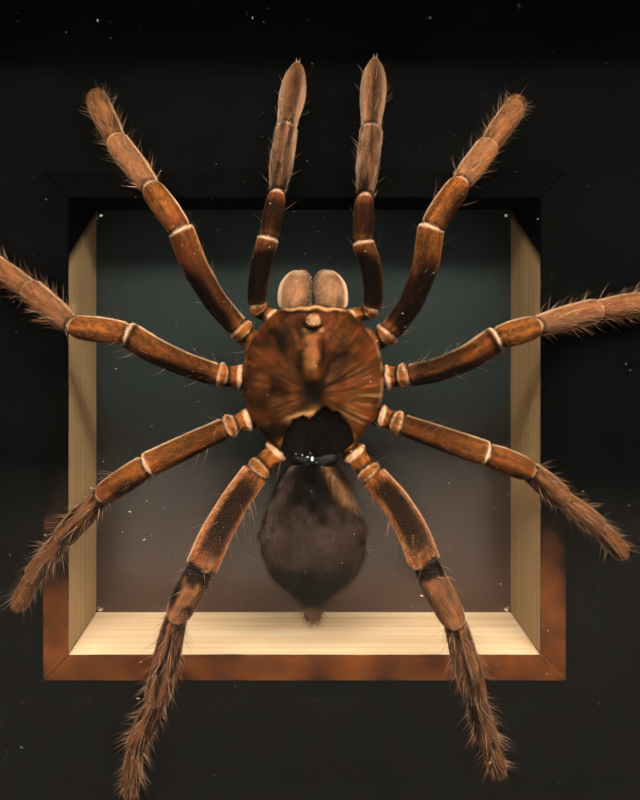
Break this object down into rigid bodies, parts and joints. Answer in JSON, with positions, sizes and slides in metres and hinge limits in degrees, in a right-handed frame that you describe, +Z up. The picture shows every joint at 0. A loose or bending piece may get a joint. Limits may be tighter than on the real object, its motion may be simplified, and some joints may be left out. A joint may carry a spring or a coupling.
{
  "type": "framed tarantula specimen",
  "caption": "dried tarantula spread over a window with a wood-lined recess, in a deep glazed wooden case that stands on its bottom rail",
  "frame": {"origin": "middle of the case's bounding box in plan, on the surface that it stands on", "axes": "+X to the right as the glass is looked at, +Y from the glass to the back, +Z up"},
  "size_m": [0.29, 0.108, 0.3],
  "materials": {
    "case_wood": "dark stained and waxed",
    "clear_glass": "clear float glass with dust on it",
    "black_board": "matt black faced board",
    "batten_wood": "bare sawn softwood",
    "liner_wood": "pale planed pine, its front edge stained brown",
    "recess_pane": "dark grey-green glossy pane",
    "pin_steel": "bright domed heads",
    "cover_board": "hardboard",
    "shield_velvet": "short velvety brown hair",
    "limb_velvet": "orange-brown velvety hair with long bristles",
    "abdomen_skin": "dried smoky skin with sparse hair",
    "fang_horn": "polished black horn"
  },
  "bodies": {
    "root": {"frame_rail_top": "case_wood", "frame_rail_bottom": "case_wood", "frame_rail_left": "case_wood", "frame_rail_right": "case_wood", "front_glass": "clear_glass", "backing_board": "black_board", "batten_top": "batten_wood", "batten_bottom": "batten_wood", "batten_left": "batten_wood", "batten_right": "batten_wood", "liner_top": "liner_wood", "liner_bottom": "liner_wood", "liner_left": "liner_wood", "liner_right": "liner_wood", "recess_back": "recess_pane", "recess_pin_1": "pin_steel", "recess_pin_2": "pin_steel", "recess_pin_3": "pin_steel", "recess_pin_4": "pin_steel", "rear_cover": "cover_board", "carapace": "shield_velvet", "sternum": "shield_velvet", "pedicel": "abdomen_skin", "abdomen": "abdomen_skin", "chelicera_left": "limb_velvet", "fang_left": "fang_horn", "spinneret_left": "limb_velvet", "palp_left": "limb_velvet", "leg_1_left": "limb_velvet", "leg_2_left": "limb_velvet", "leg_3_left": "limb_velvet", "leg_4_left": "limb_velvet", "chelicera_right": "limb_velvet", "fang_right": "fang_horn", "spinneret_right": "limb_velvet", "palp_right": "limb_velvet", "leg_1_right": "limb_velvet", "leg_2_right": "limb_velvet", "leg_3_right": "limb_velvet", "leg_4_right": "limb_velvet"}
  },
  "joints": []
}
